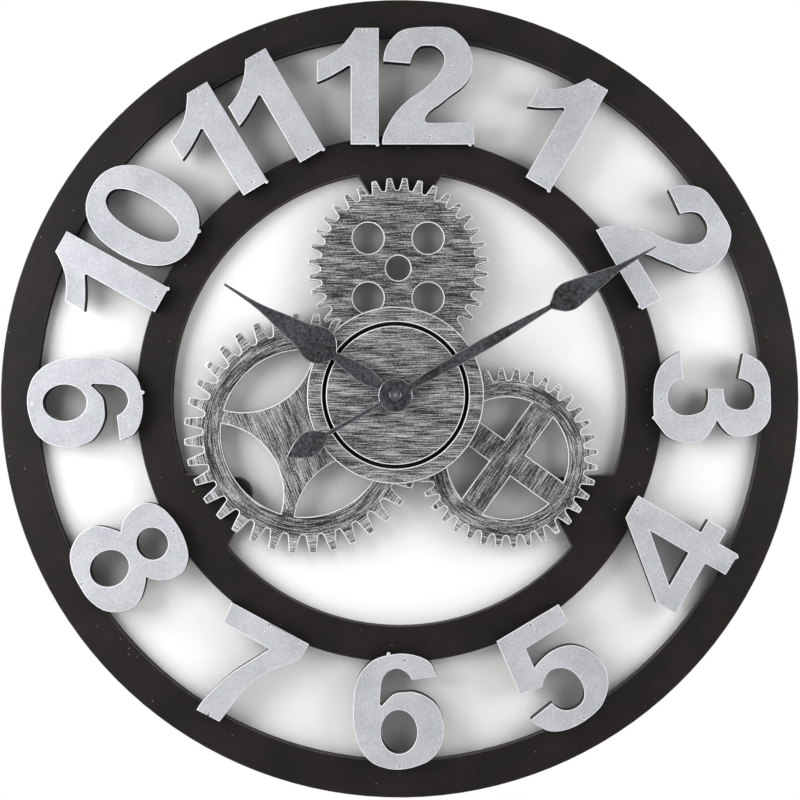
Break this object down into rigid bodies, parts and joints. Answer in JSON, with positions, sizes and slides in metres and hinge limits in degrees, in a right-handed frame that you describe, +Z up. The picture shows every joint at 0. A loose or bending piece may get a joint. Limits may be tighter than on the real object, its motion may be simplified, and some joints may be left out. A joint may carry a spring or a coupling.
{
  "type": "wall clock",
  "caption": "Round openwork wall clock: two board rings joined by large cut-out numerals, gear cut-outs, a grooved centre disc, spade hands and a battery movement.",
  "frame": {"origin": "middle of the keyhole's round hole, in the plane of the wall", "axes": "+Z up, the dial faces -Y, +X to the right as the dial is read"},
  "size_m": [0.4999, 0.0334, 0.5],
  "materials": {
    "dark_board": "dark matt paint on sawn board",
    "silver_board": "silver paint on sawn board",
    "streaked_board": "dark board, dry-brushed with silver",
    "brad_heads": "painted over",
    "screws": "zinc plated",
    "hanger_steel": "pressed sheet, plated",
    "black_plastic": "moulded",
    "brass": "turned",
    "rubber": "sheet",
    "graphite_hands": "graphite paint",
    "open_nut": "graphite paint",
    "white_plastic": "moulded",
    "cream_plastic": "moulded",
    "zinc_pipe": "turned",
    "magnet": "sintered",
    "motor_iron": "punched",
    "copper_wire": "enamelled copper wire",
    "board": "printed board",
    "crystal_can": "drawn can",
    "contact_steel": "plated spring steel",
    "battery_can": "wrapped can"
  },
  "bodies": {
    "clock": {"outer_ring": "dark_board", "inner_ring": "dark_board", "numeral_1": "silver_board", "numeral_2": "silver_board", "numeral_3": "silver_board", "numeral_4": "silver_board", "numeral_5": "silver_board", "numeral_6": "silver_board", "numeral_7": "silver_board", "numeral_8": "silver_board", "numeral_9": "silver_board", "numeral_10_tens": "silver_board", "numeral_10_units": "silver_board", "numeral_11_tens": "silver_board", "numeral_11_units": "silver_board", "numeral_12_tens": "silver_board", "numeral_12_units": "silver_board", "brads": "brad_heads", "top_gear": "streaked_board", "left_gear": "streaked_board", "right_gear": "streaked_board", "centre_disc": "streaked_board", "tab_screws": "screws", "disc_screws": "screws", "hanger_plate": "hanger_steel", "hanger_screws": "screws", "front_case": "black_plastic", "rear_cover": "black_plastic", "cover_screws": "screws", "threaded_bushing": "brass", "gasket": "rubber", "washer": "brass", "hex_nut": "brass", "train_bridge": "white_plastic", "stator": "motor_iron", "coil_core": "motor_iron", "coil_bobbin": "cream_plastic", "coil_winding": "copper_wire", "circuit_board": "board", "crystal": "crystal_can", "positive_contact": "contact_steel", "negative_contact": "contact_steel"},
    "minute": {"minute_hand": "graphite_hands", "hand_nut": "open_nut", "cannon_pinion": "zinc_pipe", "centre_wheel": "cream_plastic"},
    "hour": {"hour_hand": "graphite_hands", "hour_wheel": "cream_plastic"},
    "motion": {"motion_wheel": "white_plastic"},
    "setting": {"setting_knob": "white_plastic"},
    "third": {"third_wheel": "white_plastic"},
    "seconds": {"seconds_wheel": "cream_plastic"},
    "intermediate": {"intermediate_wheel": "white_plastic"},
    "rotor": {"rotor": "cream_plastic", "rotor_magnet": "magnet"},
    "battery": {"battery": "battery_can"}
  },
  "joints": [
    {"name": "minute_turn", "type": "hinge", "parent": "clock", "child": "minute", "pos_m": [-0.0026, -0.01, -0.2333], "axis": [0, 1, 0], "continuous": true},
    {"name": "hour_turn", "type": "hinge", "parent": "clock", "child": "hour", "pos_m": [-0.0026, -0.01, -0.2333], "axis": [0, 1, 0], "continuous": true},
    {"name": "motion_turn", "type": "hinge", "parent": "clock", "child": "motion", "pos_m": [0.00577, -0.01, -0.23403], "axis": [0, 1, 0], "continuous": true},
    {"name": "setting_turn", "type": "hinge", "parent": "clock", "child": "setting", "pos_m": [0.01366, -0.01, -0.23691], "axis": [0, 1, 0], "continuous": true},
    {"name": "third_turn", "type": "hinge", "parent": "clock", "child": "third", "pos_m": [-0.01081, -0.01, -0.2311], "axis": [0, 1, 0], "continuous": true},
    {"name": "seconds_turn", "type": "hinge", "parent": "clock", "child": "seconds", "pos_m": [-0.0026, -0.01, -0.2333], "axis": [0, 1, 0], "continuous": true},
    {"name": "intermediate_turn", "type": "hinge", "parent": "clock", "child": "intermediate", "pos_m": [-0.00035, -0.01, -0.2249], "axis": [0, 1, 0], "continuous": true},
    {"name": "rotor_turn", "type": "hinge", "parent": "clock", "child": "rotor", "pos_m": [0.00265, -0.01, -0.2197], "axis": [0, 1, 0], "continuous": true},
    {"name": "battery_slide", "type": "slide", "parent": "clock", "child": "battery", "axis": [0, 1, 0], "range_m": [0, 0.018]}
  ],
  "couplings": [
    {"joint": "hour_turn", "follows": "minute_turn", "ratio": 0.083333},
    {"joint": "motion_turn", "follows": "minute_turn", "ratio": -0.33333},
    {"joint": "setting_turn", "follows": "minute_turn", "ratio": 1},
    {"joint": "third_turn", "follows": "minute_turn", "ratio": -8},
    {"joint": "seconds_turn", "follows": "minute_turn", "ratio": 60},
    {"joint": "intermediate_turn", "follows": "minute_turn", "ratio": -360},
    {"joint": "rotor_turn", "follows": "minute_turn", "ratio": 1800}
  ]
}
